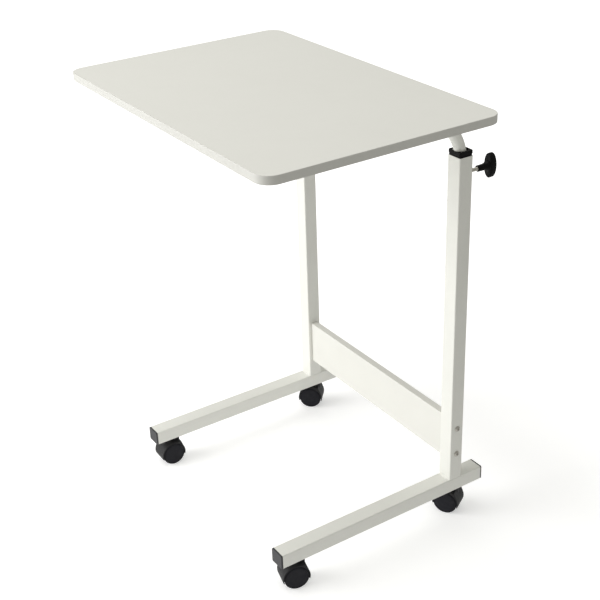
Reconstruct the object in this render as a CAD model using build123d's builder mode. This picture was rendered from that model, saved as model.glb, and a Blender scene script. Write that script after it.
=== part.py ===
"""Overbed table with a height-adjustable top on two posts, on four twin-wheel casters.

Frame: +X along the long side of the top, -Y towards the open side that goes over the bed,
+Z up. The origin is on the floor under the middle of the overall footprint. Millimetres.
"""

from build123d import *
import os

os.makedirs("parts", exist_ok=True)

# Driving dimensions

# top
top_length = 600
top_depth = 400
top_thickness = 13
top_height = 746          # upper surface above the floor, at the lowest setting
corner_radius = 25
band_thickness = 1
top_overhang = 4          # how far the back edge reaches behind the post centres

# rectangular tube frame
tube_width = 28.5         # along X
tube_depth = 25.5         # in the plane of each side frame
tube_wall = 1.5
tube_corner = 2
post_x = 212.5            # post and rail centre lines, left and right of the middle
post_y = 165
post_top = 659.5
rail_bottom = 52
rail_front = post_y - 351
rail_rear = post_y + 56

# crossbar panel between the posts
crossbar_height = 82
crossbar_thickness = 13
crossbar_bottom = 112.5
crossbar_screw_heights = (128, 178)
crossbar_screw_length = 50

# round support tubes
pipe_radius = 9.5
pipe_wall = 1.2
bend_radius = 72
arm_front = -185          # front end of the arms under the board
pipe_inside_post = 350    # straight length below the collar's mouth
arm_screw_rows = (-150, 60)
arm_plug_flange = 2.5
inner_plug_depth = 14     # how far plugs and caps reach into their tubes

# screws
arm_screw_radius = 2
crossbar_screw_radius = 2.5
pilot_depth = 11.2        # blind holes in the board

# clamps
clamp_height = 629
stud_radius = 3
nut_radius = 4.4
nut_flange = 0.8
hub_radius = 5
hub_length = 13           # from its mouth to where it widens into the head
stud_in_hub = 12
knob_length = 40
knob_width = 20
knob_reach = 66           # front of the knob behind the post centre

# casters
wheel_radius = 21
wheel_width = 11.2
caster_half_width = 17.6
hood_radius = 23.3
well_radius = 21.8
skirt_height = 15         # lower edge of the hood above the floor
trail = 10.5              # wheel axis beside the stem axis
stem_radius = 4
front_stem_y = post_y - 311.5
rear_stem_y = post_y + 10

# fits
running_gap = 0.08        # radial, round pieces that turn or slide in each other
slide_gap = 0.1           # per side, flat pieces that slide in a square tube
plug_gap = 0.05           # plugs pushed into a tube, on each side
screw_gap = 0.25          # radial, where a screw passes through a tube
pilot_gap = 0.05          # radial, where a screw bites

# Worked-out dimensions

rail_top = rail_bottom + tube_depth
rail_centre_z = rail_bottom + tube_depth / 2
inside_width = tube_width - 2 * tube_wall
inside_depth = tube_depth - 2 * tube_wall
guide_width = inside_width - 2 * slide_gap
guide_depth = inside_depth - 2 * slide_gap
plug_width = inside_width - 2 * plug_gap
plug_depth = inside_depth - 2 * plug_gap
top_underside = top_height - top_thickness
top_centre_y = post_y + top_overhang - top_depth / 2
arm_z = top_underside - pipe_radius
crossbar_length = 2 * post_x - tube_width

collar_waist_height = 3.8
collar_lip_height = 5.2
collar_top = post_top + collar_waist_height + collar_lip_height
collar_plug_depth = 22
collar_relief = 2.46                        # lets the start of the bend into the collar's mouth
plug_relief = 0.6                           # the same, lower down inside the post
bend_start = arm_z - bend_radius
pipe_bottom = collar_top - pipe_inside_post

clamp_face = post_y + pipe_radius + 0.3     # inner end of the nylon tip when tightened
pad_length = 2
pad_radius = 2.6
stud_start = clamp_face + pad_length
hub_start = post_y + 34
knob_back = post_y + 54.5
knob_front = post_y + knob_reach

wheel_centre_z = wheel_radius
hood_top = wheel_centre_z + hood_radius
boss_top = rail_bottom - 2.5
boss_radius = 8.5
axle_radius = 2.5
web_half = 5.8                              # middle wall of the hood, between the wheels
wheel_inner_face = caster_half_width - wheel_width
disc_radius = 18.7                          # smooth outer disc, inside the tread's shallow groove
stem_bottom = 31
ring_z = 35

sides = (("left", -1), ("right", 1))
corners = (
    ("front_left", -1, front_stem_y, -2),
    ("front_right", 1, front_stem_y, -15),
    ("rear_left", -1, rear_stem_y, -43),
    ("rear_right", 1, rear_stem_y, -59),
)                                           # name, side, stem y, parked swivel angle


# Shared shapes

def tube_section():
    """Wall of the frame tube, seen from its end with its width along the plane's X."""
    RectangleRounded(tube_width, tube_depth, tube_corner)
    RectangleRounded(inside_width, inside_depth, tube_corner - tube_wall, mode=Mode.SUBTRACT)


def make_pan_screw(radius, length, head_radius, head_height):
    """Pan-head screw: the shank goes down from the origin and the head stands above it."""
    crown = 0.65 * head_height
    dome_radius = (head_radius**2 + crown**2) / (2 * crown)
    dome_drop = dome_radius - (dome_radius**2 - (head_radius / 2) ** 2) ** 0.5
    with BuildPart() as screw:
        with BuildSketch(Plane.XZ):
            with BuildLine():
                Polyline(
                    (0, -length), (radius, 3 * radius - length), (radius, 0), (head_radius, 0),
                    (head_radius, 0.35 * head_height),
                )
                ThreePointArc(
                    (head_radius, 0.35 * head_height),
                    (head_radius / 2, head_height - dome_drop),
                    (0, head_height),
                )
                Line((0, head_height), (0, -length))
            make_face()
        revolve(axis=Axis.Z)
        with BuildSketch(Plane.XY.offset(0.45 * head_height)):
            Rectangle(1.1 * head_radius, 0.24 * head_radius)
            Rectangle(0.24 * head_radius, 1.1 * head_radius)
        extrude(amount=head_height, mode=Mode.SUBTRACT)
    return screw.part


# Top

with BuildPart() as tabletop_board:
    with BuildSketch(Plane((0, top_centre_y, top_underside))):
        RectangleRounded(
            top_length - 2 * band_thickness,
            top_depth - 2 * band_thickness,
            corner_radius - band_thickness,
        )
    extrude(amount=top_thickness)
    with BuildSketch(Plane.XY.offset(top_underside)):
        with Locations(*[(s * post_x, y) for _, s in sides for y in arm_screw_rows]):
            Circle(arm_screw_radius + pilot_gap)
    extrude(amount=pilot_depth, mode=Mode.SUBTRACT)
tabletop_board.part.label = "tabletop_board"
export_step(tabletop_board.part, "parts/tabletop_board.step")

with BuildPart() as tabletop_edge_band:
    with BuildSketch(Plane((0, top_centre_y, top_underside))):
        RectangleRounded(top_length, top_depth, corner_radius)
        RectangleRounded(
            top_length - 2 * band_thickness,
            top_depth - 2 * band_thickness,
            corner_radius - band_thickness,
            mode=Mode.SUBTRACT,
        )
    extrude(amount=top_thickness)
    outer_rims = [
        edge
        for group in (faces().sort_by(Axis.Z)[0], faces().sort_by(Axis.Z)[-1])
        for edge in group.outer_wire().edges()
    ]
    fillet(outer_rims, 0.7)
tabletop_edge_band.part.label = "tabletop_edge_band"
export_step(tabletop_edge_band.part, "parts/tabletop_edge_band.step")

# Supports

for name, side in sides:
    with BuildPart() as support_tube:
        with BuildLine(Plane.YZ.offset(side * post_x)) as route:
            FilletPolyline(
                (post_y, pipe_bottom), (post_y, arm_z), (arm_front, arm_z), radius=bend_radius
            )
        with BuildSketch(Plane((side * post_x, post_y, pipe_bottom))):
            Circle(pipe_radius)
            Circle(pipe_radius - pipe_wall, mode=Mode.SUBTRACT)
        sweep(path=route.wire())
        with BuildSketch(Plane.XY.offset(arm_z)):
            with Locations(*[(side * post_x, y) for y in arm_screw_rows]):
                Circle(arm_screw_radius + screw_gap)
        extrude(amount=2 * pipe_radius, both=True, mode=Mode.SUBTRACT)
    support_tube.part.label = f"support_tube_{name}"
    export_step(support_tube.part, f"parts/support_tube_{name}.step")

    pipe_end = Plane((side * post_x, post_y, pipe_bottom))
    with BuildPart() as tube_guide:
        with BuildSketch(pipe_end):
            RectangleRounded(guide_width, guide_depth, 1.5)
        extrude(amount=-18)
        chamfer(faces().sort_by(Axis.Z)[0].edges(), 1)
        with BuildSketch(pipe_end):
            Circle(pipe_radius - pipe_wall - plug_gap)
        extrude(amount=20)
        chamfer(faces().sort_by(Axis.Z)[-1].edges(), 0.8)
    tube_guide.part.label = f"tube_guide_{name}"
    export_step(tube_guide.part, f"parts/tube_guide_{name}.step")

    post_mouth = Plane((side * post_x, post_y, post_top))
    with BuildPart() as collar:
        with BuildSketch(post_mouth):
            RectangleRounded(plug_width, plug_depth, 0.8)
        extrude(amount=-collar_plug_depth)
        with BuildSketch(post_mouth):
            RectangleRounded(tube_width - 2.2, tube_depth - 1.2, 1.8)
        extrude(amount=collar_waist_height)
        with BuildSketch(post_mouth.offset(collar_waist_height)):
            RectangleRounded(tube_width - 0.8, tube_depth + 0.4, 2.6)
        extrude(amount=collar_lip_height)
        fillet(faces().sort_by(Axis.Z)[-1].edges(), 0.8)
        with BuildSketch(post_mouth.offset(-collar_plug_depth)):
            Circle(pipe_radius + running_gap)
        extrude(amount=collar_top - post_top + collar_plug_depth, mode=Mode.SUBTRACT)
        for relief, start, end in (
            (collar_relief, post_top, collar_top),
            (plug_relief, bend_start, post_top),
        ):
            with BuildSketch(Plane((side * post_x, post_y, start))):
                SlotCenterToCenter(2 * relief, 2 * (pipe_radius + running_gap), rotation=90)
            extrude(amount=end - start, mode=Mode.SUBTRACT)
        chamfer(faces().sort_by(Axis.Z)[-1].inner_wires()[0].edges(), 0.7)
    collar.part.label = f"collar_{name}"
    export_step(collar.part, f"parts/collar_{name}.step")

with BuildPart() as arm_end_plugs:
    for _, side in sides:
        with BuildSketch(Plane((side * post_x, arm_front, arm_z), z_dir=(0, -1, 0))):
            Circle(pipe_radius)
        extrude(amount=arm_plug_flange)
        with BuildSketch(Plane((side * post_x, arm_front, arm_z), z_dir=(0, 1, 0))):
            Circle(pipe_radius - pipe_wall - plug_gap)
        extrude(amount=inner_plug_depth)
    fillet(faces().group_by(Axis.Y)[0].edges(), 1.2)
arm_end_plugs.part.label = "arm_end_plugs"
export_step(arm_end_plugs.part, "parts/arm_end_plugs.step")

arm_screw = make_pan_screw(arm_screw_radius, 2 * pipe_radius + pilot_depth - 0.2, 4, 2.6)
arm_screw_seats = [
    Plane((s * post_x, y, top_underside - 2 * pipe_radius), z_dir=(0, 0, -1))
    for _, s in sides
    for y in arm_screw_rows
]
with BuildPart() as arm_screws:
    with Locations(*arm_screw_seats):
        add(arm_screw)
arm_screws.part.label = "arm_screws"
export_step(arm_screws.part, "parts/arm_screws.step")

# Clamps

for name, side in sides:
    stud_line = Axis((side * post_x, 0, clamp_height), (0, 1, 0))
    back_wall = Plane((side * post_x, post_y + tube_depth / 2, clamp_height), z_dir=(0, 1, 0))
    with BuildPart() as clamp_nut:
        with BuildSketch(back_wall):
            Circle(nut_radius + 1.2)
        extrude(amount=nut_flange)
        with BuildSketch(back_wall):
            Circle(nut_radius)
        extrude(amount=-tube_wall - 1)
        with BuildSketch(back_wall):
            Circle(stud_radius + running_gap)
        extrude(amount=tube_depth / 2, both=True, mode=Mode.SUBTRACT)
    clamp_nut.part.label = f"clamp_nut_{name}"
    export_step(clamp_nut.part, f"parts/clamp_nut_{name}.step")

    with BuildPart() as clamp_pad:
        with BuildSketch(Plane((side * post_x, clamp_face, clamp_height), z_dir=(0, 1, 0))):
            Circle(pad_radius)
        extrude(amount=pad_length)
        chamfer(edges().sort_by(Axis.Y)[0], 0.4)
    clamp_pad.part.label = f"clamp_pad_{name}"
    export_step(clamp_pad.part, f"parts/clamp_pad_{name}.step")

    with BuildPart() as clamp_stud:
        with BuildSketch(Plane((side * post_x, stud_start, clamp_height), z_dir=(0, 1, 0))):
            Circle(stud_radius)
        extrude(amount=hub_start + stud_in_hub - stud_start)
        chamfer(edges().sort_by(Axis.Y)[0], 0.6)
    clamp_stud.part.label = f"clamp_stud_{name}"
    export_step(clamp_stud.part, f"parts/clamp_stud_{name}.step")

    head_back = Plane((side * post_x, knob_back, clamp_height), x_dir=(1, 0, 0), z_dir=(0, 1, 0))
    with BuildPart() as clamp_knob:
        with BuildSketch(head_back):
            Ellipse(knob_width / 2, knob_length / 2)
        extrude(amount=knob_front - knob_back)
        fillet(faces().sort_by(Axis.Y)[-1].edges(), 2.6)
        fillet(faces().sort_by(Axis.Y)[0].edges(), 1.2)
        with BuildSketch(Plane((side * post_x, 0, clamp_height))):
            with BuildLine():
                Polyline(
                    (0, hub_start), (hub_radius, hub_start),
                    (hub_radius + 0.3, hub_start + hub_length), (hub_radius + 3.2, knob_back),
                    (hub_radius + 3.2, knob_back + 3), (0, knob_back + 3), close=True,
                )
            make_face()
        revolve(axis=stud_line)
        with BuildSketch(Plane((side * post_x, hub_start, clamp_height), z_dir=(0, 1, 0))):
            Circle(stud_radius)
        extrude(amount=stud_in_hub, mode=Mode.SUBTRACT)
    clamp_knob.part.label = f"clamp_knob_{name}"
    export_step(clamp_knob.part, f"parts/clamp_knob_{name}.step")

# Frame

for name, side in sides:
    with BuildPart() as post:
        with BuildSketch(Plane((side * post_x, post_y, rail_top))):
            tube_section()
        extrude(amount=post_top - rail_top)
        with BuildSketch(Plane.YZ.offset(side * post_x)):
            with Locations(*[(post_y, z) for z in crossbar_screw_heights]):
                Circle(crossbar_screw_radius + screw_gap)
        extrude(amount=tube_width, both=True, mode=Mode.SUBTRACT)
        with BuildSketch(Plane((side * post_x, post_y, clamp_height), z_dir=(0, 1, 0))):
            Circle(nut_radius)
        extrude(amount=tube_depth, mode=Mode.SUBTRACT)
    post.part.label = f"post_{name}"
    export_step(post.part, f"parts/post_{name}.step")

    with BuildPart() as rail:
        with BuildSketch(Plane((side * post_x, rail_front, rail_centre_z), (1, 0, 0), (0, 1, 0))):
            tube_section()
        extrude(amount=rail_rear - rail_front)
        with BuildSketch(Plane.XY.offset(rail_bottom)):
            with Locations((side * post_x, front_stem_y), (side * post_x, rear_stem_y)):
                Circle(stem_radius + 0.2)
        extrude(amount=tube_wall, mode=Mode.SUBTRACT)
    rail.part.label = f"rail_{name}"
    export_step(rail.part, f"parts/rail_{name}.step")

    for end, end_y, out in (("front", rail_front, -1), ("rear", rail_rear, 1)):
        middle = (side * post_x, end_y, rail_centre_z)
        with BuildPart() as rail_cap:
            with BuildSketch(Plane(middle, (1, 0, 0), (0, out, 0))):
                RectangleRounded(tube_width, tube_depth, 2.4)
            extrude(amount=3)
            fillet(faces().sort_by(Axis(middle, (0, out, 0)))[-1].edges(), 0.9)
            with BuildSketch(Plane(middle, (1, 0, 0), (0, -out, 0))):
                RectangleRounded(plug_width, plug_depth, 0.8)
                RectangleRounded(inside_width - 4, inside_depth - 4, 0.8, mode=Mode.SUBTRACT)
            extrude(amount=inner_plug_depth)
        rail_cap.part.label = f"rail_cap_{end}_{name}"
        export_step(rail_cap.part, f"parts/rail_cap_{end}_{name}.step")

# Crossbar

with BuildPart() as crossbar_panel:
    with BuildSketch(Plane((0, post_y, crossbar_bottom))):
        Rectangle(crossbar_length, crossbar_thickness)
    extrude(amount=crossbar_height)
    chamfer(edges().filter_by(Axis.X), 0.4)
    for _, side in sides:
        with BuildSketch(Plane.YZ.offset(side * crossbar_length / 2)):
            with Locations(*[(post_y, z) for z in crossbar_screw_heights]):
                Circle(crossbar_screw_radius + pilot_gap)
        extrude(amount=side * (tube_width - crossbar_screw_length - 1), mode=Mode.SUBTRACT)
crossbar_panel.part.label = "crossbar_panel"
export_step(crossbar_panel.part, "parts/crossbar_panel.step")

crossbar_screw = make_pan_screw(crossbar_screw_radius, crossbar_screw_length, 5, 3)
crossbar_screw_seats = [
    Plane((s * (post_x + tube_width / 2), post_y, z), z_dir=(s, 0, 0))
    for _, s in sides
    for z in crossbar_screw_heights
]
with BuildPart() as crossbar_screws:
    with Locations(*crossbar_screw_seats):
        add(crossbar_screw)
crossbar_screws.part.label = "crossbar_screws"
export_step(crossbar_screws.part, "parts/crossbar_screws.step")

# Casters, each drawn once about its stem axis with the wheels trailing towards -Y

wheel_centre = (-trail, wheel_centre_z)     # in the YZ plane
wheel_axis = Axis((0, -trail, wheel_centre_z), (1, 0, 0))


def around_wheel(radius, angle):
    """Point in the YZ plane at an angle from the trailing side, over the top."""
    reach = Vector(radius, 0).rotate(Axis.Z, angle)
    return (wheel_centre[0] - reach.X, wheel_centre[1] + reach.Y)


with BuildPart() as hood:
    with BuildSketch(Plane.YZ):
        with Locations(wheel_centre):
            Circle(hood_radius)
        with BuildLine():
            Polyline(
                (5.5, hood_top), (-trail, hood_top), wheel_centre, around_wheel(hood_radius, 158),
                close=True,
            )
        make_face()
    extrude(amount=caster_half_width - 0.2, both=True)
    cheeks = (faces().sort_by(Axis.X)[0], faces().sort_by(Axis.X)[-1])
    fillet([edge for cheek in cheeks for edge in cheek.edges()], 1)
    with BuildSketch(Plane.XY.offset(boss_top)):
        Circle(boss_radius)
    extrude(amount=wheel_radius - boss_top)
    for out in (-1, 1):
        with BuildSketch(Plane.YZ.offset(out * web_half)):
            with Locations(wheel_centre):
                Circle(well_radius)
        extrude(amount=out * caster_half_width, mode=Mode.SUBTRACT)
    with BuildSketch(Plane.YZ):
        with Locations((-trail, skirt_height)):
            Rectangle(3 * hood_radius, hood_radius, align=(Align.CENTER, Align.MAX))
    extrude(amount=caster_half_width, both=True, mode=Mode.SUBTRACT)
    with BuildSketch(Plane.YZ):
        with Locations(wheel_centre):
            Circle(11)
    extrude(amount=web_half, both=True)
    with BuildSketch(Plane.YZ):
        with Locations(wheel_centre):
            Circle(axle_radius)
    extrude(amount=web_half, both=True, mode=Mode.SUBTRACT)
    with BuildSketch(Plane.XY.offset(boss_top)):
        Circle(stem_radius + running_gap)
    extrude(amount=stem_bottom - 0.5 - boss_top, mode=Mode.SUBTRACT)
    with BuildSketch(Plane.XY.offset(ring_z - 0.1)):
        Circle(stem_radius + 0.7)
    extrude(amount=1.4, mode=Mode.SUBTRACT)

with BuildPart() as wheel:
    with BuildSketch(Plane((0, -trail, wheel_centre_z))):
        with BuildLine():
            Polyline(
                (wheel_inner_face, axle_radius + running_gap),
                (wheel_inner_face, 6),
                (wheel_inner_face + 6, 6),
                (wheel_inner_face + 6, 17),
                (wheel_inner_face, 17),
                (wheel_inner_face, wheel_radius - 1),
                (wheel_inner_face + 1, wheel_radius),
                (caster_half_width - 1.2, wheel_radius),
                (caster_half_width - 0.4, wheel_radius - 0.4),
                (caster_half_width, wheel_radius - 1.2),
                (caster_half_width, disc_radius + 0.6),
                (caster_half_width - 1, disc_radius + 0.5),
                (caster_half_width - 1, disc_radius),
                (caster_half_width - 0.2, disc_radius - 0.2),
                (caster_half_width, 14),
                (caster_half_width, 0),
                (caster_half_width - 3, 0),
                (caster_half_width - 3, axle_radius + running_gap),
                close=True,
            )
        make_face()
    revolve(axis=wheel_axis)

with BuildPart() as axle:
    with BuildSketch(Plane.YZ):
        with Locations(wheel_centre):
            Circle(axle_radius)
    extrude(amount=caster_half_width - 3.4, both=True)

with BuildPart() as stem:
    with BuildSketch(Plane.XY.offset(stem_bottom)):
        Circle(stem_radius)
    extrude(amount=rail_bottom + 14 - stem_bottom)
    chamfer(edges().group_by(Axis.Z)[-1] + edges().group_by(Axis.Z)[0], 0.8)
    with BuildSketch(Plane.XY.offset(boss_top + 0.3)):
        RegularPolygon(7, 6, major_radius=False)
    extrude(amount=rail_bottom - boss_top - 0.3)
    with BuildSketch(Plane.XY.offset(ring_z)):
        Circle(stem_radius)
        Circle(stem_radius - 0.8, mode=Mode.SUBTRACT)
    extrude(amount=1.2, mode=Mode.SUBTRACT)

for name, side, stem_y, angle in corners:
    corner = Plane((side * post_x, stem_y, 0)).rotated((0, 0, angle))
    with BuildPart(corner) as caster_hood:
        add(hood.part)
    caster_hood.part.label = f"caster_hood_{name}"
    export_step(caster_hood.part, f"parts/caster_hood_{name}.step")

    with BuildPart(corner) as caster_stem:
        add(stem.part)
    caster_stem.part.label = f"caster_stem_{name}"
    export_step(caster_stem.part, f"parts/caster_stem_{name}.step")

    with BuildPart(corner) as caster_axle:
        add(axle.part)
    caster_axle.part.label = f"caster_axle_{name}"
    export_step(caster_axle.part, f"parts/caster_axle_{name}.step")

    for flank, turn in (("outer", 0 if side > 0 else 180), ("inner", 180 if side > 0 else 0)):
        with BuildPart(corner) as caster_wheel:
            with Locations(Plane((0, -trail, 0)).rotated((0, 0, turn))):
                add(wheel.part.moved(Location((0, trail, 0))))
        caster_wheel.part.label = f"caster_wheel_{flank}_{name}"
        export_step(caster_wheel.part, f"parts/caster_wheel_{flank}_{name}.step")

with BuildPart() as caster_nuts:
    nut_seats = [(side * post_x, stem_y) for _, side, stem_y, _ in corners]
    with BuildSketch(Plane.XY.offset(rail_bottom + tube_wall)):
        with Locations(*nut_seats):
            RegularPolygon(6.5, 6, major_radius=False)
            Circle(stem_radius + 0.05, mode=Mode.SUBTRACT)
    extrude(amount=6.5)
caster_nuts.part.label = "caster_nuts"
export_step(caster_nuts.part, "parts/caster_nuts.step")

with BuildPart() as caster_grip_rings:
    with BuildSketch(Plane.XY.offset(ring_z + 0.05)):
        with Locations(*nut_seats):
            Circle(stem_radius + 0.4)
            Circle(stem_radius - 0.75, mode=Mode.SUBTRACT)
        with Locations(*[(x, y + stem_radius) for x, y in nut_seats]):
            Rectangle(2, 4, mode=Mode.SUBTRACT)
    extrude(amount=1.1)
caster_grip_rings.part.label = "caster_grip_rings"
export_step(caster_grip_rings.part, "parts/caster_grip_rings.step")
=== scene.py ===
import math

import bpy
import bmesh
from mathutils import Matrix, Vector


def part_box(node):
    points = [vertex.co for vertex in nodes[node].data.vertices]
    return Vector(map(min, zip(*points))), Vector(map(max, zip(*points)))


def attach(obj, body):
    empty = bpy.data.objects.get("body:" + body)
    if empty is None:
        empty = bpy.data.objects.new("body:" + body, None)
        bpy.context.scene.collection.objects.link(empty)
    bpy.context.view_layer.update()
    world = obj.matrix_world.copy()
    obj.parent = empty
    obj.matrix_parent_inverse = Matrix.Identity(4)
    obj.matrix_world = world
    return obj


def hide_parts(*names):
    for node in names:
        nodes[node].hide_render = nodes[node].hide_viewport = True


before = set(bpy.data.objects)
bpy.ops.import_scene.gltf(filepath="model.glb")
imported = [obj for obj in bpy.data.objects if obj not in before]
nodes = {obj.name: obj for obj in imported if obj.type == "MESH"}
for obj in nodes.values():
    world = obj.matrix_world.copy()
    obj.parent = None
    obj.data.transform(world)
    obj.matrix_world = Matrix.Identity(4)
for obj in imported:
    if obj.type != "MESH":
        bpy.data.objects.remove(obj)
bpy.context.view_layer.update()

sides = ("left", "right")
mm = 0.001


def link(tree, source, target):
    tree.links.new(source, target)


def addNode(tree, kind, **values):
    node = tree.nodes.new(kind)
    for name, value in values.items():
        setattr(node, name, value)
    return node


def newGroup(name, inputs, outputs):
    group = bpy.data.node_groups.new(name, "ShaderNodeTree")
    for label, socketType, value in inputs:
        socket = group.interface.new_socket(label, in_out="INPUT", socket_type=socketType)
        socket.default_value = value
    for label, socketType in outputs:
        group.interface.new_socket(label, in_out="OUTPUT", socket_type=socketType)
    return group, group.nodes.new("NodeGroupInput"), group.nodes.new("NodeGroupOutput")


def mathNode(tree, operation, first, second):
    node = addNode(tree, "ShaderNodeMath", operation=operation)
    for socket, value in zip(node.inputs, (first, second)):
        if isinstance(value, (int, float)):
            socket.default_value = value
        else:
            link(tree, value, socket)
    return node.outputs[0]


def rampNode(tree, source, start, end):  # black below start, white above end
    node = tree.nodes.new("ShaderNodeValToRGB")
    for element, position, level in zip(node.color_ramp.elements, (start, end), (0.0, 1.0)):
        element.position, element.color = position, (level, level, level, 1)
    link(tree, source, node.inputs["Fac"])
    return node.outputs["Color"]


def noiseNode(tree, scale, detail, roughness, vector):
    node = tree.nodes.new("ShaderNodeTexNoise")
    node.inputs["Detail"].default_value = detail
    node.inputs["Roughness"].default_value = roughness
    if isinstance(scale, (int, float)):
        node.inputs["Scale"].default_value = scale
    else:
        link(tree, scale, node.inputs["Scale"])
    link(tree, vector, node.inputs["Vector"])
    return node.outputs["Fac"]


# edge mask: worn edges in a second colour; on the black plastic its lighter colour is also a painted highlight along
# the edges
def buildEdgeWear():
    group, given, result = newGroup(
        "edgeWearAndSheen",
        [("Radius", "NodeSocketFloat", 0.0008), ("Patchiness", "NodeSocketFloat", 60.0),
         ("Strength", "NodeSocketFloat", 0.5)],
        [("Mask", "NodeSocketFloat")],
    )
    rounded = addNode(group, "ShaderNodeBevel", samples=6)
    link(group, given.outputs["Radius"], rounded.inputs["Radius"])
    flat = group.nodes.new("ShaderNodeNewGeometry")
    turn = addNode(group, "ShaderNodeVectorMath", operation="DOT_PRODUCT")
    link(group, rounded.outputs["Normal"], turn.inputs[0])
    link(group, flat.outputs["Normal"], turn.inputs[1])
    edge = rampNode(group, mathNode(group, "SUBTRACT", 1.0, turn.outputs["Value"]),
                    0.01, 0.16)
    place = group.nodes.new("ShaderNodeTexCoord")
    patches = rampNode(group, noiseNode(group, given.outputs["Patchiness"], 4, 0.6,
                                        place.outputs["Object"]), 0.42, 0.62)
    worn = mathNode(group, "MULTIPLY", edge, patches)
    link(group, mathNode(group, "MULTIPLY", worn, given.outputs["Strength"]), result.inputs["Mask"])
    return group


def buildTintDrift():
    group, given, result = newGroup(
        "tintDrift",
        [("Tone A", "NodeSocketColor", (0.8, 0.8, 0.8, 1)), ("Tone B", "NodeSocketColor", (0.7, 0.7, 0.7, 1)),
         ("Scale", "NodeSocketFloat", 6.0)],
        [("Color", "NodeSocketColor"), ("Drift", "NodeSocketFloat")],
    )
    place = group.nodes.new("ShaderNodeTexCoord")
    drift = rampNode(group, noiseNode(group, given.outputs["Scale"], 5, 0.6, place.outputs["Object"]),
                     0.3, 0.7)
    mix = addNode(group, "ShaderNodeMix", data_type="RGBA")
    link(group, drift, mix.inputs["Factor"])
    link(group, given.outputs["Tone A"], mix.inputs["A"])
    link(group, given.outputs["Tone B"], mix.inputs["B"])
    link(group, mix.outputs["Result"], result.inputs["Color"])
    link(group, drift, result.inputs["Drift"])
    return group


def buildFineGrain():
    group, given, result = newGroup(
        "fineGrain",
        [("Scale", "NodeSocketFloat", 900.0), ("Waviness", "NodeSocketFloat", 0.3)],
        [("Height", "NodeSocketFloat")],
    )
    place = group.nodes.new("ShaderNodeTexCoord")
    pores = group.nodes.new("ShaderNodeTexVoronoi")
    pores.feature = "SMOOTH_F1"
    pores.inputs["Smoothness"].default_value = 0.8
    link(group, place.outputs["Object"], pores.inputs["Vector"])
    link(group, given.outputs["Scale"], pores.inputs["Scale"])
    swell = noiseNode(group, mathNode(group, "MULTIPLY", given.outputs["Scale"], 0.22), 2, 0.5,
                      place.outputs["Object"])
    mix = addNode(group, "ShaderNodeMix", data_type="FLOAT")
    link(group, given.outputs["Waviness"], mix.inputs[0])
    link(group, pores.outputs["Distance"], mix.inputs[2])
    link(group, swell, mix.inputs[3])
    link(group, mix.outputs[0], result.inputs["Height"])
    return group


def buildScuffs():
    group, given, result = newGroup(
        "scuffs",
        [("Scale", "NodeSocketFloat", 40.0), ("Stretch", "NodeSocketVector", (1, 12, 1)),
         ("Amount", "NodeSocketFloat", 0.5)],
        [("Mask", "NodeSocketFloat")],
    )
    place = group.nodes.new("ShaderNodeTexCoord")
    stretched = addNode(group, "ShaderNodeVectorMath", operation="MULTIPLY")
    link(group, place.outputs["Object"], stretched.inputs[0])
    link(group, given.outputs["Stretch"], stretched.inputs[1])
    lines = rampNode(group, noiseNode(group, given.outputs["Scale"], 6, 0.7, stretched.outputs[0]),
                     0.56, 0.66)
    areas = rampNode(group, noiseNode(group, 9, 2, 0.5, place.outputs["Object"]),
                     0.45, 0.65)
    mask = mathNode(group, "MULTIPLY", lines, areas)
    link(group, mathNode(group, "MULTIPLY", mask, given.outputs["Amount"]), result.inputs["Mask"])
    return group


def buildDustFilm():
    group, given, result = newGroup(
        "dustFilm",
        [("Scale", "NodeSocketFloat", 30.0), ("Amount", "NodeSocketFloat", 0.2)],
        [("Mask", "NodeSocketFloat")],
    )
    place = group.nodes.new("ShaderNodeTexCoord")
    cloud = rampNode(group, noiseNode(group, given.outputs["Scale"], 8, 0.7, place.outputs["Object"]),
                     0.4, 0.75)
    link(group, mathNode(group, "MULTIPLY", cloud, given.outputs["Amount"]), result.inputs["Mask"])
    return group


edgeWearAndSheen = buildEdgeWear()
tintDrift = buildTintDrift()
fineGrain = buildFineGrain()
scuffs = buildScuffs()
dustFilm = buildDustFilm()


def placeGroup(tree, group, **values):
    node = tree.nodes.new("ShaderNodeGroup")
    node.node_tree = group
    for name, value in values.items():
        node.inputs[name.replace("_", " ")].default_value = value
    return node


def startMaterial(name, **shaderValues):
    material = bpy.data.materials.new(name)
    material.use_nodes = True
    tree = material.node_tree
    shader = tree.nodes["Principled BSDF"]
    for label, value in shaderValues.items():
        shader.inputs[label.replace("_", " ")].default_value = value
    return material, tree, shader


def addBump(tree, shader, height, strength, distance):
    bump = tree.nodes.new("ShaderNodeBump")
    bump.inputs["Strength"].default_value = strength
    bump.inputs["Distance"].default_value = distance
    link(tree, height, bump.inputs["Height"])
    link(tree, bump.outputs["Normal"], shader.inputs["Normal"])


def spreadRoughness(tree, shader, mask, low, high):
    spread = tree.nodes.new("ShaderNodeMapRange")
    spread.inputs["To Min"].default_value = low
    spread.inputs["To Max"].default_value = high
    link(tree, mask, spread.inputs["Value"])
    link(tree, spread.outputs["Result"], shader.inputs["Roughness"])


def startFinish(name, values):  # drifting tone, roughness and grain, which every finish has
    material, tree, shader = startMaterial(name, Specular_IOR_Level=values["gloss"])
    tint = placeGroup(tree, tintDrift, Tone_A=values["tone"], Tone_B=values["drift"], Scale=values["driftScale"])
    spreadRoughness(tree, shader, tint.outputs["Drift"], *values["roughness"])
    grain = placeGroup(tree, fineGrain, Scale=values["grain"], Waviness=values["waviness"])
    addBump(tree, shader, grain.outputs["Height"], values["bump"], values["bumpDepth"])
    return material, tree, shader, tint.outputs["Color"]


def laySpots(tree, shader, mask, colour, spots):  # a second colour where the mask is
    mix = addNode(tree, "ShaderNodeMix", data_type="RGBA")
    link(tree, mask.outputs["Mask"], mix.inputs["Factor"])
    link(tree, colour, mix.inputs["A"])
    mix.inputs["B"].default_value = spots
    link(tree, mix.outputs["Result"], shader.inputs["Base Color"])


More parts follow.
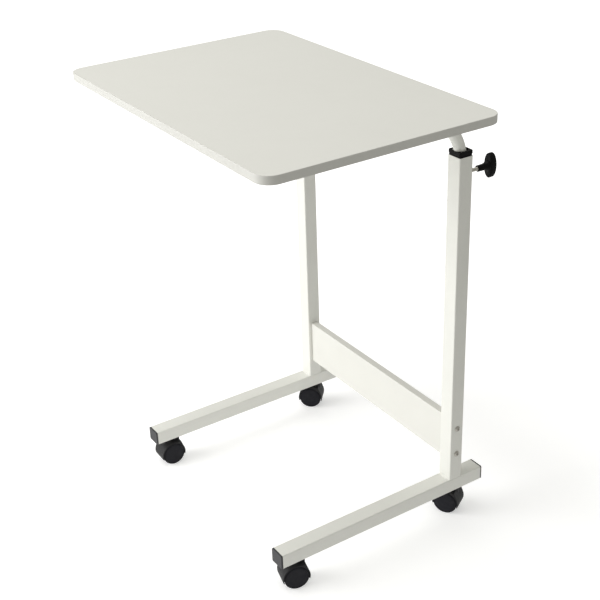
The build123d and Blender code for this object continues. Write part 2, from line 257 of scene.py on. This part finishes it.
melamine = {
    "tone": (0.76, 0.755, 0.71, 1), "drift": (0.73, 0.725, 0.68, 1), "driftScale": 5.0,
    "gloss": 0.45, "roughness": (0.42, 0.52),
    "grain": 1100.0, "waviness": 0.35, "bump": 0.12, "bumpDepth": 0.0004,
    "smudge": (0.70, 0.69, 0.65, 1), "smudgeScale": 55.0, "smudgeStretch": (1, 7, 1), "smudgeAmount": 0.35,
}


def makeMelamine():
    material, tree, shader, colour = startFinish("melamineFacing", melamine)
    marks = placeGroup(tree, scuffs, Scale=melamine["smudgeScale"], Stretch=melamine["smudgeStretch"],
                       Amount=melamine["smudgeAmount"])
    laySpots(tree, shader, marks, colour, melamine["smudge"])
    return material


edgeStrip = {
    "tone": (0.635, 0.63, 0.595, 1), "drift": (0.61, 0.605, 0.57, 1), "driftScale": 9.0,
    "gloss": 0.5, "roughness": (0.32, 0.42),
    "grain": 700.0, "waviness": 0.7, "bump": 0.08, "bumpDepth": 0.0004,
    "worn": (0.56, 0.55, 0.52, 1), "wornScale": 80.0, "wornStretch": (1, 1, 14), "wornAmount": 0.5,
}


def makeEdgeStrip():
    material, tree, shader, colour = startFinish("edgeStripPlastic", edgeStrip)
    marks = placeGroup(tree, scuffs, Scale=edgeStrip["wornScale"], Stretch=edgeStrip["wornStretch"],
                       Amount=edgeStrip["wornAmount"])
    laySpots(tree, shader, marks, colour, edgeStrip["worn"])
    return material


powderCoat = {
    "tone": (0.82, 0.82, 0.775, 1), "drift": (0.79, 0.79, 0.745, 1), "driftScale": 12.0,
    "gloss": 0.5, "roughness": (0.30, 0.38),
    "grain": 420.0, "waviness": 0.8, "bump": 0.16, "bumpDepth": 0.0006,
    "rubAndSheen": (0.60, 0.595, 0.57, 1), "rubAndSheenRadius": 0.0012, "rubAndSheenPatches": 45.0, "rubAndSheenStrength": 0.25,
}


def makePowderCoat():
    material, tree, shader, colour = startFinish("powderCoatWhite", powderCoat)
    wearAndSheen = placeGroup(tree, edgeWearAndSheen, Radius=powderCoat["rubAndSheenRadius"], Patchiness=powderCoat["rubAndSheenPatches"],
                      Strength=powderCoat["rubAndSheenStrength"])
    laySpots(tree, shader, wearAndSheen, colour, powderCoat["rubAndSheen"])
    return material


blackPlastic = {
    "tone": (0.004, 0.004, 0.0045, 1), "drift": (0.006, 0.006, 0.0065, 1), "driftScale": 40.0,
    "gloss": 0.10, "roughness": (0.38, 0.50),
    "grain": 1500.0, "waviness": 0.3, "bump": 0.20, "bumpDepth": 0.0004,
    # the lighter colour on the edges is worn plastic and partly a painted highlight
    "rubAndSheen": (0.022, 0.022, 0.023, 1), "rubAndSheenRadius": 0.0008, "rubAndSheenPatches": 120.0, "rubAndSheenStrength": 0.5,
}


def makeBlackPlastic():
    material, tree, shader, colour = startFinish("blackMouldedPlastic", blackPlastic)
    # edges get a lighter colour: wear, and partly a painted highlight along the edges
    wearAndSheen = placeGroup(tree, edgeWearAndSheen, Radius=blackPlastic["rubAndSheenRadius"], Patchiness=blackPlastic["rubAndSheenPatches"],
                      Strength=blackPlastic["rubAndSheenStrength"])
    laySpots(tree, shader, wearAndSheen, colour, blackPlastic["rubAndSheen"])
    return material


capPlastic = {
    "tone": (0.046, 0.046, 0.049, 1), "drift": (0.058, 0.058, 0.062, 1), "driftScale": 60.0,
    "gloss": 0.3, "roughness": (0.50, 0.62),
    "grain": 1300.0, "waviness": 0.4, "bump": 0.25, "bumpDepth": 0.0004,
    "rubAndSheen": (0.13, 0.13, 0.135, 1), "rubScale": 160.0, "rubStretch": (3, 1, 1), "rubAmount": 0.5,
}


def makeCapPlastic():
    material, tree, shader, colour = startFinish("capPlastic", capPlastic)
    marks = placeGroup(tree, scuffs, Scale=capPlastic["rubScale"], Stretch=capPlastic["rubStretch"],
                       Amount=capPlastic["rubAmount"])
    laySpots(tree, shader, marks, colour, capPlastic["rubAndSheen"])
    return material


hoodPlastic = {
    "tone": (0.011, 0.011, 0.0125, 1), "drift": (0.016, 0.016, 0.018, 1), "driftScale": 50.0,
    "gloss": 0.26, "roughness": (0.48, 0.62),
    "grain": 1600.0, "waviness": 0.35, "bump": 0.35, "bumpDepth": 0.0005,
    "dust": (0.09, 0.088, 0.085, 1), "dustScale": 70.0, "dustAmount": 0.14,
}
wheelPlastic = {
    "tone": (0.008, 0.008, 0.0125, 1), "drift": (0.011, 0.011, 0.0155, 1), "driftScale": 50.0,
    "gloss": 0.16, "roughness": (0.40, 0.52),
    "grain": 1400.0, "waviness": 0.4, "bump": 0.18, "bumpDepth": 0.0004,
    "dust": (0.08, 0.078, 0.076, 1), "dustScale": 110.0, "dustAmount": 0.12,
}


def makeDustyNylon(name, values):  # caster hoods and wheels
    material, tree, shader, colour = startFinish(name, values)
    dust = placeGroup(tree, dustFilm, Scale=values["dustScale"], Amount=values["dustAmount"])
    laySpots(tree, shader, dust, colour, values["dust"])
    return material


zincSteel = {
    "tone": (0.62, 0.60, 0.55, 1), "drift": (0.48, 0.46, 0.42, 1), "driftScale": 220.0,
    "gloss": 0.5, "roughness": (0.24, 0.42),
    "grain": 2500.0, "waviness": 0.5, "bump": 0.12, "bumpDepth": 0.0002,
}


def makeZincSteel():
    material, tree, shader, colour = startFinish("zincPlatedSteel", zincSteel)
    shader.inputs["Metallic"].default_value = 1.0
    link(tree, colour, shader.inputs["Base Color"])
    return material


nylon = {
    "tone": (0.72, 0.68, 0.58, 1), "drift": (0.66, 0.62, 0.52, 1), "driftScale": 80.0,
    "gloss": 0.5, "roughness": (0.40, 0.50),
    "grain": 900.0, "waviness": 0.4, "bump": 0.15, "bumpDepth": 0.0003,
}


def makeNaturalNylon():
    material, tree, shader, colour = startFinish("naturalNylon", nylon)
    link(tree, colour, shader.inputs["Base Color"])
    return material


finishes = {
    "melamine": makeMelamine(),
    "edgeStrip": makeEdgeStrip(),
    "powderCoat": makePowderCoat(),
    "blackPlastic": makeBlackPlastic(),
    "capPlastic": makeCapPlastic(),
    "hoodPlastic": makeDustyNylon("casterHoodNylon", hoodPlastic),
    "wheelPlastic": makeDustyNylon("casterWheelNylon", wheelPlastic),
    "zincSteel": makeZincSteel(),
    "nylon": makeNaturalNylon(),
}
print("finishes made:", len(finishes))


# the first name that fits a CAD node gives its finish
nodeFinishes = (
    ("tabletop_board", "melamine"),
    ("tabletop_edge_band", "edgeStrip"),
    ("crossbar_panel", "melamine"),
    ("post_", "powderCoat"),
    ("rail_cap", "capPlastic"),
    ("rail_", "powderCoat"),
    ("support_tube", "powderCoat"),
    ("clamp_nut", "powderCoat"),
    ("collar", "blackPlastic"),
    ("clamp_knob", "blackPlastic"),
    ("arm_end_plugs", "blackPlastic"),
    ("tube_guide", "blackPlastic"),
    ("clamp_pad", "nylon"),
    ("caster_hood", "hoodPlastic"),
    ("caster_wheel", "wheelPlastic"),
)


def finishFor(nodeName):
    for start, finish in nodeFinishes:
        if nodeName.startswith(start):
            return finishes[finish]
    return finishes["zincSteel"]


for nodeName, nodeObject in nodes.items():
    nodeObject.data.materials.clear()
    nodeObject.data.materials.append(finishFor(nodeName))
print("CAD nodes finished:", len(nodes))


def meshObject(name, points, faces, finish):
    mesh = bpy.data.meshes.new(name)
    mesh.from_pydata(points, [], faces)
    mesh.validate()
    work = bmesh.new()
    work.from_mesh(mesh)
    bmesh.ops.recalc_face_normals(work, faces=work.faces)
    work.to_mesh(mesh)
    work.free()
    for face in mesh.polygons:
        face.use_smooth = True
    piece = bpy.data.objects.new(name, mesh)
    bpy.context.scene.collection.objects.link(piece)
    mesh.materials.append(finishes[finish])
    return piece


def loftRings(rings):  # a closed skin through rings of equally many points
    count = len(rings[0])
    points = [point for ring in rings for point in ring]
    faces = [
        (row * count + step, row * count + (step + 1) % count,
         (row + 1) * count + (step + 1) % count, (row + 1) * count + step)
        for row in range(len(rings) - 1) for step in range(count)
    ]
    faces.append(tuple(range(count - 1, -1, -1)))
    faces.append(tuple(range((len(rings) - 1) * count, len(rings) * count)))
    return points, faces


knob = {
    "steps": 96, "flute": 0.11, "hubFlute": 0.3, "fluteWidth": 0.62, "length": 32,
    # distance from the hub's mouth in mm, share of the oval, hub radius in mm
    "sections": ((0, 0, 4.7), (0.35, 0, 5.0), (12.0, 0, 5.25), (16.5, 0, 6.4), (19.4, 0, 8.0), (20.6, 0.55, 8.3),
                 (20.9, 0.80, 0), (21.3, 0.93, 0), (22.2, 0.99, 0), (23.4, 1.0, 0), (28.4, 1.0, 0), (29.9, 0.985, 0),
                 (31.0, 0.94, 0), (31.7, 0.86, 0), (32.0, 0.74, 0), (31.7, 0.55, 0), (31.3, 0.3, 0), (31.2, 0.05, 0)),
}


def makeKnob(side):
    low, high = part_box("clamp_knob_" + side)
    middle = (low + high) / 2
    wide, tall = (high.x - low.x) / 2, (high.z - low.z) / 2
    reach = (high.y - low.y) / knob["length"]
    rings = []
    for along, share, hub in knob["sections"]:
        ring = []
        for step in range(knob["steps"]):
            turn = 2 * math.pi * step / knob["steps"]
            across, upward = math.cos(turn), math.sin(turn)
            waist = math.exp(-((upward / knob["fluteWidth"]) ** 2)) * (1 if share > 0.9 else knob["hubFlute"])
            pinch = 1 - knob["flute"] * waist
            x = max(abs(across) * wide * share * pinch, abs(across) * hub * mm)
            z = max(abs(upward) * tall * share, abs(upward) * hub * mm)
            ring.append((middle.x + math.copysign(x, across), low.y + along * reach,
                         middle.z + math.copysign(z, upward)))
        rings.append(ring)
    piece = meshObject("knob_" + side, *loftRings(rings), "blackPlastic")
    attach(piece, "clamp_handle_" + side)
    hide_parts("clamp_knob_" + side)


stud = {"pitch": 1.0, "depth": 0.42, "around": 36, "ringsPerTurn": 8,
        "lead": 1.2, "leadShare": 0.78, "sharpness": 1.35, "clearance": 0.01}  # lengths in mm


def makeStud(side):
    low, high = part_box("clamp_stud_" + side)
    middle = (low + high) / 2
    outer = (high.x - low.x) / 2 - stud["clearance"] * mm
    length = high.y - low.y
    count = int(length / (stud["pitch"] * mm) * stud["ringsPerTurn"])
    rings = []
    for row in range(count + 1):
        along = row / count * length
        taper = stud["leadShare"] + (1 - stud["leadShare"]) * min(1, along / (stud["lead"] * mm))
        ring = []
        for step in range(stud["around"]):
            turn = 2 * math.pi * step / stud["around"]
            phase = (along / (stud["pitch"] * mm) - turn / (2 * math.pi)) % 1
            cut = 1 - abs(2 * phase - 1)
            radius = (outer - stud["depth"] * mm * min(1, stud["sharpness"] * cut)) * taper
            ring.append((middle.x + radius * math.cos(turn), low.y + along, middle.z + radius * math.sin(turn)))
        rings.append(ring)
    piece = meshObject("stud_" + side, *loftRings(rings), "zincSteel")
    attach(piece, "clamp_handle_" + side)
    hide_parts("clamp_stud_" + side)


# lengths in mm, the rest are counts and shares
weld = {"radius": 2.3, "ripple": 0.22, "ripplePitch": 1.6, "steps": 60, "around": 10,
        "sink": 0.5, "fromCorner": 1.6, "hollow": 0.20, "fade": 6, "endShare": 0.15}


def makeWeld(side, face):  # bead in the corner between the post's foot and the rail
    low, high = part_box("post_" + side)
    wall = low.y if face == "front" else high.y
    out = -1 if face == "front" else 1
    rings = []
    for row in range(weld["steps"] + 1):
        share = row / weld["steps"]
        x = low.x + weld["fromCorner"] * mm + share * (high.x - low.x - 2 * weld["fromCorner"] * mm)
        wave = abs(math.sin(math.pi * share * (high.x - low.x) / (weld["ripplePitch"] * mm)))
        ends = min(1, weld["fade"] * share, weld["fade"] * (1 - share)) ** 0.5
        reach = (weld["radius"] + weld["ripple"] * wave) * mm * max(ends, weld["endShare"])
        ring = [(x, wall - out * weld["sink"] * mm, low.z - 0.1 * mm)]
        for step in range(weld["around"] + 1):
            turn = math.pi / 2 * step / weld["around"]
            swell = reach * (1 - weld["hollow"] + weld["hollow"] * math.cos(4 * turn))
            ring.append((x, wall + out * swell * math.cos(turn), low.z + swell * math.sin(turn)))
        rings.append(ring)
    piece = meshObject("weld_" + face + "_" + side, *loftRings(rings), "powderCoat")
    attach(piece, "base_frame")


for side in sides:
    makeKnob(side)
    makeStud(side)
    for face in ("front", "rear"):
        makeWeld(side, face)
print("pieces made")


studio = {"floorSize": 14.0, "floorTone": (0.74, 0.74, 0.74, 1), "floorGlow": 0.46, "farGlow": 0.40,
          "glowStart": 0.5, "glowEnd": 2.0, "bounce": 0.50, "bounceReach": 0.75, "drop": 0.0002,
          "skyLight": 0.40, "skyTone": (1.0, 0.995, 0.93, 1), "backdrop": (0.985, 0.985, 0.985, 1)}


def makeFloor():
    half = studio["floorSize"] / 2
    mesh = bpy.data.meshes.new("floor")
    mesh.from_pydata([(-half, -half, 0), (half, -half, 0), (half, half, 0), (-half, half, 0)], [], [(0, 1, 2, 3)])
    floor = bpy.data.objects.new("floor", mesh)
    bpy.context.scene.collection.objects.link(floor)
    floor.location.z = -studio["drop"]
    material, tree, shader = startMaterial("paleFloor", Base_Color=studio["floorTone"], Roughness=0.9,
                                           Specular_IOR_Level=0.0)
    place = tree.nodes.new("ShaderNodeTexCoord")
    away = addNode(tree, "ShaderNodeVectorMath", operation="LENGTH")
    link(tree, place.outputs["Object"], away.inputs[0])
    rays = tree.nodes.new("ShaderNodeLightPath")
    choose = tree.nodes.new("ShaderNodeMixShader")
    link(tree, rays.outputs["Is Camera Ray"], choose.inputs["Fac"])
    glows = (
        (1, 0.0, studio["bounceReach"], studio["bounce"], 0.0),  # light thrown up under the table
        (2, studio["glowStart"], studio["glowEnd"], studio["floorGlow"],
         studio["floorGlow"] + studio["farGlow"]),  # seen by the camera
    )
    for slot, near, far, nearGlow, farGlow in glows:
        spread = tree.nodes.new("ShaderNodeMapRange")
        for label, value in (("From Min", near), ("From Max", far), ("To Min", nearGlow), ("To Max", farGlow)):
            spread.inputs[label].default_value = value
        link(tree, away.outputs["Value"], spread.inputs["Value"])
        glow = tree.nodes.new("ShaderNodeEmission")
        link(tree, spread.outputs["Result"], glow.inputs["Strength"])
        both = tree.nodes.new("ShaderNodeAddShader")
        link(tree, shader.outputs[0], both.inputs[0])
        link(tree, glow.outputs[0], both.inputs[1])
        link(tree, both.outputs[0], choose.inputs[slot])
    link(tree, choose.outputs[0], tree.nodes["Material Output"].inputs["Surface"])
    floor.data.materials.append(material)


def makeSky():
    world = bpy.data.worlds.new("studio")
    bpy.context.scene.world = world
    world.use_nodes = True
    tree = world.node_tree
    tree.nodes.clear()
    soft = addNode(tree, "ShaderNodeBackground")
    soft.inputs["Strength"].default_value = studio["skyLight"]
    white = addNode(tree, "ShaderNodeBackground")
    rays = tree.nodes.new("ShaderNodeLightPath")
    choose = tree.nodes.new("ShaderNodeMixShader")
    out = tree.nodes.new("ShaderNodeOutputWorld")
    soft.inputs["Color"].default_value = studio["skyTone"]
    white.inputs["Color"].default_value = studio["backdrop"]
    link(tree, rays.outputs["Is Camera Ray"], choose.inputs["Fac"])
    link(tree, soft.outputs[0], choose.inputs[1])
    link(tree, white.outputs[0], choose.inputs[2])
    link(tree, choose.outputs[0], out.inputs["Surface"])


softLights = {
    "frontSoftbox": {"direction": (-0.42, -0.90, 0.32), "distance": 3.4, "aimHeight": 0.45,
                     "size": 2.4, "power": 97.0},
    "overheadSoftbox": {"direction": (-0.20, -0.15, 1.0), "distance": 3.2, "aimHeight": 0.45,
                        "size": 3.0, "power": 50.0},
}


def makeSoftLight(name, values):
    data = bpy.data.lights.new(name, "AREA")
    data.shape = "SQUARE"
    data.size = values["size"]
    data.energy = values["power"]
    lamp = bpy.data.objects.new(name, data)
    bpy.context.scene.collection.objects.link(lamp)
    back = Vector(values["direction"]).normalized()
    lamp.location = Vector((0, 0, values["aimHeight"])) + back * values["distance"]
    lamp.rotation_euler = back.to_track_quat("Z", "Y").to_euler()


cameraView = {"sensor": 36, "azimuth": 57.47, "elevation": 27.59, "roll": -2.07, "distance": 2.0976,
              "target": (-0.0898, 0.065, 0.3200), "lens": 70.95}


def makeCamera():
    data = bpy.data.cameras.new("camera")
    data.sensor_width = cameraView["sensor"]
    data.lens = cameraView["lens"]
    camera = bpy.data.objects.new("camera", data)
    bpy.context.scene.collection.objects.link(camera)
    azimuth, elevation = math.radians(cameraView["azimuth"]), math.radians(cameraView["elevation"])
    back = Vector((math.sin(azimuth) * math.cos(elevation), -math.cos(azimuth) * math.cos(elevation),
                   math.sin(elevation)))
    camera.location = Vector(cameraView["target"]) + back * cameraView["distance"]
    upright = back.to_track_quat("Z", "Y").to_matrix()
    camera.rotation_euler = (upright @ Matrix.Rotation(math.radians(cameraView["roll"]), 3, "Z")).to_euler()
    bpy.context.scene.camera = camera


makeFloor()
makeSky()
for name, values in softLights.items():
    makeSoftLight(name, values)
makeCamera()
bpy.context.scene.view_settings.view_transform = "Standard"
print("stage ready")
